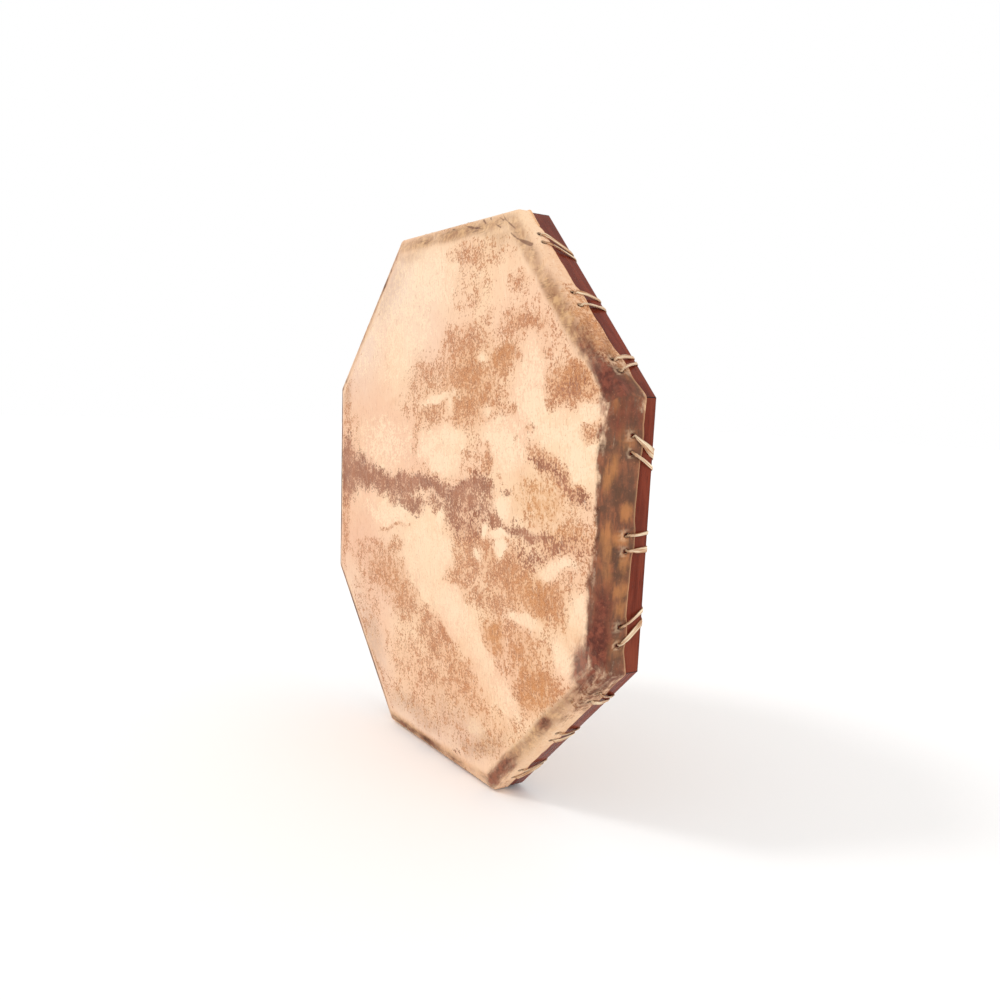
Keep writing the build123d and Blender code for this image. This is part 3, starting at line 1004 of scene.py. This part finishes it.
def build_head():
    bm = bmesh.new()
    ring = bevel_of_head(bm, field_of_head(bm))
    hem_of_head(bm, ring)
    loose = [vertex for vertex in bm.verts if not vertex.link_faces]
    bmesh.ops.delete(bm, geom=loose, context="VERTS")
    shell = bpy.data.meshes.new("rawhide_head_shell")
    bm.to_mesh(shell)
    bm.free()
    obj = make_object("rawhide_head", shell, [])
    solid = obj.modifiers.new("thickness", "SOLIDIFY")
    solid.thickness = HIDE / 1000
    solid.offset = -1
    solid.material_offset_rim = 1
    shell.materials.append(rawhide_head("rawhide_head", 0.0))
    shell.materials.append(rawhide_head("rawhide_cut_edge", 0.75))
    graph = bpy.context.evaluated_depsgraph_get()
    mesh = bpy.data.meshes.new_from_object(obj.evaluated_get(graph))
    obj.modifiers.clear()
    obj.data = mesh
    mesh.name = "rawhide_head"
    mesh.set_sharp_from_angle(angle=math.radians(50))
    stain_head(mesh)
    return obj


# ---- laces

THONG = 1.1
LOWEST_SIDE = 6  # the drum stands on its strands


def layer_depth(pair, hand):
    """Depth of a strand's layer inside its spoke."""
    layer = (pair + 1) + (3 if hand < 0 else 0)
    return SPOKE_DEPTH + (layer - 2.5) * LAYER_PITCH


def strand(side, pair, hand, rng):
    """Rows of one strand, from the middle of the bridge under the hem to the hand grip."""
    hole, level = holes[side, pair, hand]
    _, _, rim, width = strands[side, pair, hand]
    reach = BACK - level
    edge = hem_edge(side, hole)
    out, turn = ways_of(side)

    def at(depth):
        return mix(hole, rim, (depth - level) / reach)

    def row(along, depth, radius, normal, wide, thick, curl=0.0, pleat=0.0):
        facing = turn * normal[0] + Vector((0, normal[1], 0)) + out * normal[2]
        return (*local(side, along, depth, radius), *facing, wide, thick, curl, pleat)

    def on_hem(depth, above):
        return SNUG + hem_lift(side, at(depth), min(depth, edge)) + above * pressed

    # How the strand turns its flat side, and how far it stands off and how thick it is.
    tip = hand * rng.uniform(0.7, 1.2)
    pressed, slim = 1.0, 1.0
    if side == LOWEST_SIDE:
        tip *= 0.3
        pressed, slim = 0.4, 0.75
    pleat = 0.35 if width > 5.5 else 0.0
    corner = OUTSIDE - 0.15
    under = OUTSIDE + 0.42
    middle = pair * PAIR_PITCH
    inner_along = rim * (INSIDE - GATHER_RADIUS) / (OUTSIDE - GATHER_RADIUS)
    layer = layer_depth(pair, hand)
    halfway = (edge + BACK) / 2
    spokewise = rng.uniform(-0.5, 0.5)
    return [
        row(mix(middle, hole, 0.08), level + 1, under, (0, 0, 1), 4.4, 0.6),
        row(mix(middle, hole, 0.6), level + 1, under, (0, 0, 1), 4.0, 0.65),
        row(hole - hand * 0.9, level + 1.2, under + 0.35, (-hand * 0.6, 0, 0.8), 2.8, 1.3),
        row(hole, level + 1.6, SNUG + 0.6, (-hand, 0, 0.1), 2.4, 1.8),
        row(at(level + 3.2), level + 3.2, on_hem(level + 3.6, 1.8), (-tip, -0.4, 0.8),
            3.0, 1.8 * slim, 0.3),
        row(at(level + 5.4), level + 5.4, on_hem(level + 5.4, 1.6), (-tip, 0, 0.9),
            3.3, 1.6 * slim, 0.4),
        row(at(edge + 1), edge + 1, on_hem(edge, 1.5), (-tip * 0.6, 0, 1),
            mix(3.3, width, 0.35), 1.4 * slim, 0.4, pleat),
        row(at(halfway), halfway, mix(on_hem(edge, 1.5), corner + 0.9, 0.5), (-tip * 0.35, 0, 1),
            mix(3.3, width, 0.7), 1.2, 0.3, pleat),
        row(at(BACK - 2.4), BACK - 2.4, OUTSIDE + 0.75, (-hand * 0.1, 0, 1),
            width * 0.94, THONG, 0, pleat * 0.6),
        row(rim, BACK - 0.2, OUTSIDE - 0.1, (0, 0.7, 0.7), width, THONG, 0, pleat * 0.3),
        row(rim - pair * 0.8, BACK + 0.75, OUTSIDE - 2.6, (0, 1, 0.1), width, THONG, 0, pleat * 0.3),
        row(inner_along, BACK + 0.8, INSIDE, (0, 1, 0), width, THONG, 0.2, pleat),
        row(inner_along * 0.55, mix(BACK + 0.8, layer, 0.5), mix(INSIDE, GATHER_RADIUS, 0.5),
            (spokewise, 1, 0), mix(width, 5, 0.5), THONG, 0.5, pleat),
        row(inner_along * 0.05, layer, GATHER_RADIUS + 4, (spokewise * 0.2, 1, 0), 4.8, THONG, 0.1, 0),
        row(0, layer, GATHER_RADIUS - 12, (0, 1, 0), 5.4, THONG, 0, 0),
        row(0, layer, (GATHER_RADIUS + GRIP_RADIUS) / 2, (0, 1, 0), 5.6, THONG, 0, 0),
        row(0, layer, 14, (0, 1, 0), 5.6, THONG, 0, 0),
    ]


STRAND_STEPS = (3, 3, 4, 4, 4, 4, 6, 8, 5, 5, 5, 8, 10, 8, 4, 2)


def build_laces(finish):
    rng = random.Random(21)
    for side in range(SIDES):
        for pair in PAIRS:
            first = strand(side, pair, -1, rng)
            second = strand(side, pair, 1, rng)
            steps = STRAND_STEPS[::-1] + (2,) + STRAND_STEPS
            rows = curve_through(first[::-1] + second, steps)
            bm = new_strips()
            strip_mesh(bm, rows, rng.uniform(0, 9))
            number = pair + 2
            lace = finish_strips(bm, f"thong_{side + 1}_{number}", finish)
            declare(lace, f"lace_{side + 1}_{number}")


# ---- spokes and grip


def wrap_row(side, angle, radius, spread, wave):
    """One row of the strip wound round a spoke. The section is a squarish oval."""
    half_wide, half_deep = 4.0 + spread, 5.45 + spread
    cos, sin = math.cos(angle), math.sin(angle)
    scale = (abs(cos) ** 4 + abs(sin) ** 4) ** -0.25
    along, depth = half_wide * cos * scale, half_deep * sin * scale
    out, turn = ways_of(side)
    normal = turn * (cos ** 3 / half_wide) + Vector((0, sin ** 3 / half_deep, 0))
    normal = normal.normalized() + out * (0.09 + wave)
    return np.array((*local(side, along, SPOKE_DEPTH + depth, radius), *normal, 7.0, 1.15, 0.12, 0.0))


def build_wraps(finish):
    rng = random.Random(4)
    per_turn = 26
    for side in range(SIDES):
        bm = new_strips()
        turns = 23 + rng.choice((0, 0, 1))
        phase = rng.uniform(0, 2 * math.pi)
        first, last = WRAP_OUTER - 4, WRAP_INNER + 2
        rows = []
        for step in range(turns * per_turn + 1):
            share = step / (turns * per_turn)
            angle = phase + 2 * math.pi * turns * share
            radius = mix(first, last, share) + 0.5 * math.sin(step / 61 + side)
            uneven = 0.12 * noise.noise(Vector((step / 30, side * 7.0, 0)))
            rows.append(wrap_row(side, angle, radius, uneven, 0.03 * math.sin(step / 37)))
        strip_mesh(bm, rows, rng.uniform(0, 9))
        wrap = finish_strips(bm, f"spoke_binding_{side + 1}", finish)
        declare(wrap, f"spoke_wrap_{side + 1}")


def grip_band(bm, angle, offset, level, width, rng):
    """A closed band round the crossing of the spokes, over the front and back of the grip."""
    way = Vector((math.cos(angle), 0, math.sin(angle)))
    beside = Vector((-way.z, 0, way.x))
    radius = GRIP_RADIUS - 1.6 - level * 0.25
    height = GRIP_HALF - 0.9 - level * 1.05
    count = 56
    rows = []
    for step in range(count):
        turn = 2 * math.pi * step / count
        cos, sin = math.cos(turn), math.sin(turn)
        scale = (abs(cos) ** 3.4 + abs(sin) ** 3.4) ** (-1 / 3.4)
        reach, rise = radius * cos * scale, height * sin * scale
        squeeze = 1 - 0.55 * abs(cos * scale) ** 3
        wander = 0.4 * noise.noise(Vector((step / 9, angle * 5, offset)))
        spot = way * reach + beside * (offset * squeeze + wander)
        spot.y = SPOKE_DEPTH + rise
        normal = way * (cos * abs(cos) ** 2.4 / radius) + Vector((0, sin * abs(sin) ** 2.4 / height, 0))
        rows.append(np.array((*spot, *normal.normalized(), width * (0.75 + 0.25 * squeeze), 1.1, 0.2, 0.0)))
    strip_mesh(bm, rows, rng.uniform(0, 9), closed=True)


def build_grip(finish):
    rng = random.Random(12)
    bm = new_strips()
    for level, number in enumerate((2, 0, 3, 1)):
        angle = (number + 0.5) * SIDE_ANGLE
        for offset in (-5.2, 0, 5.2):
            grip_band(bm, angle, offset, level, 5.6, rng)
    for ring_number, radius in enumerate((21.0, 24.2)):
        rows = []
        count = 96
        for step in range(count):
            turn = 2 * math.pi * step / count
            over = math.cos(4 * turn + math.pi * ring_number)
            rise = 6.6 * math.copysign(abs(over) ** 0.6, over)
            spot = Vector((math.cos(turn), 0, math.sin(turn))) * (radius + 0.8 * (1 - abs(over)))
            spot.y = SPOKE_DEPTH + rise
            outward = Vector((math.cos(turn), 0, math.sin(turn))) * 0.8
            normal = outward + Vector((0, over, 0))
            rows.append(np.array((*spot, *normal.normalized(), 4.6, 1.1, 0.1, 0.0)))
        strip_mesh(bm, rows, rng.uniform(0, 9), closed=True)
    declare(finish_strips(bm, "hand_hold_knot", finish), "hand_grip")


# ---- assembly

for side in range(SIDES):
    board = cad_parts[f"frame_board_{side + 1}"]
    board.data.materials.clear()
    board.data.materials.append(wood(side))

head = build_head()
declare(head, "drumhead")

thong_finish = rawhide_strip("rawhide_thong", srgb(255, 236, 202), srgb(178, 118, 74), 0.42)
binding_finish = rawhide_strip("rawhide_binding", srgb(232, 200, 164), srgb(186, 138, 96), 0.5)
build_laces(thong_finish)
build_wraps(binding_finish)
build_grip(binding_finish)


# ---- floor, light and camera


def build_floor():
    mesh = bpy.data.meshes.new("floor")
    half = 12.0
    corners = [(-half, -half, 0), (half, -half, 0), (half, half, 0), (-half, half, 0)]
    mesh.from_pydata(corners, [], [(0, 1, 2, 3)])
    finish = Finish("pale_floor", 0.9, 0.1)
    soft = finish.noise(finish.where(), 900, 2, 0.5)
    finish.paint(finish.shades(soft, (254, 254, 254), (252, 252, 252)))
    floor = make_object("floor", mesh, [finish.material])


def add_sun(name, towards, strength, softness):
    """Distant light from a direction, as even on the floor as on the drum."""
    light = bpy.data.lights.new(name, "SUN")
    light.energy = strength
    light.angle = math.radians(softness)
    obj = add(name, light)
    obj.location = FACE + Vector(towards) * 3
    obj.rotation_euler = Vector(towards).to_track_quat("Z", "Y").to_euler()


def build_light():
    world = bpy.data.worlds.new("studio")
    bpy.context.scene.world = world
    world.use_nodes = True
    world.node_tree.nodes.clear()
    nodes = Nodes(world.node_tree)
    rays = nodes.put("ShaderNodeLightPath", {})
    white = {"Color": (1, 1, 1, 1)}
    warm = {"Color": (1, 0.99, 0.98, 1), "Strength": 0.93}
    seen = nodes.put("ShaderNodeBackground", white)
    lighting = nodes.put("ShaderNodeBackground", warm)
    choice = {0: rays.outputs["Is Camera Ray"], 1: lighting.outputs[0], 2: seen.outputs[0]}
    choose = nodes.put("ShaderNodeMixShader", choice)
    nodes.put("ShaderNodeOutputWorld", {"Surface": choose.outputs[0]})
    add_sun("key", (-0.45, -1.0, 1.15), 0.58, 12)
    add_sun("side", (1.0, 0.15, 0.7), 0.26, 40)


def build_camera():
    """From the right of the face, a little above and close. Metres, degrees and millimetres of lens."""
    camera = add("camera", bpy.data.cameras.new("camera"))
    camera.location = (0.9209, -0.5429, 0.4204)
    camera.rotation_euler = [math.radians(a) for a in (79.93, -2.212, 57.967)]
    camera.data.sensor_width = 36
    camera.data.lens = 33.37
    camera.data.shift_x = 0.0093
    camera.data.shift_y = 0.0647
    camera.data.clip_start = 0.05
    bpy.context.scene.camera = camera


build_floor()
build_light()
build_camera()
bpy.context.scene.view_settings.view_transform = "Standard"
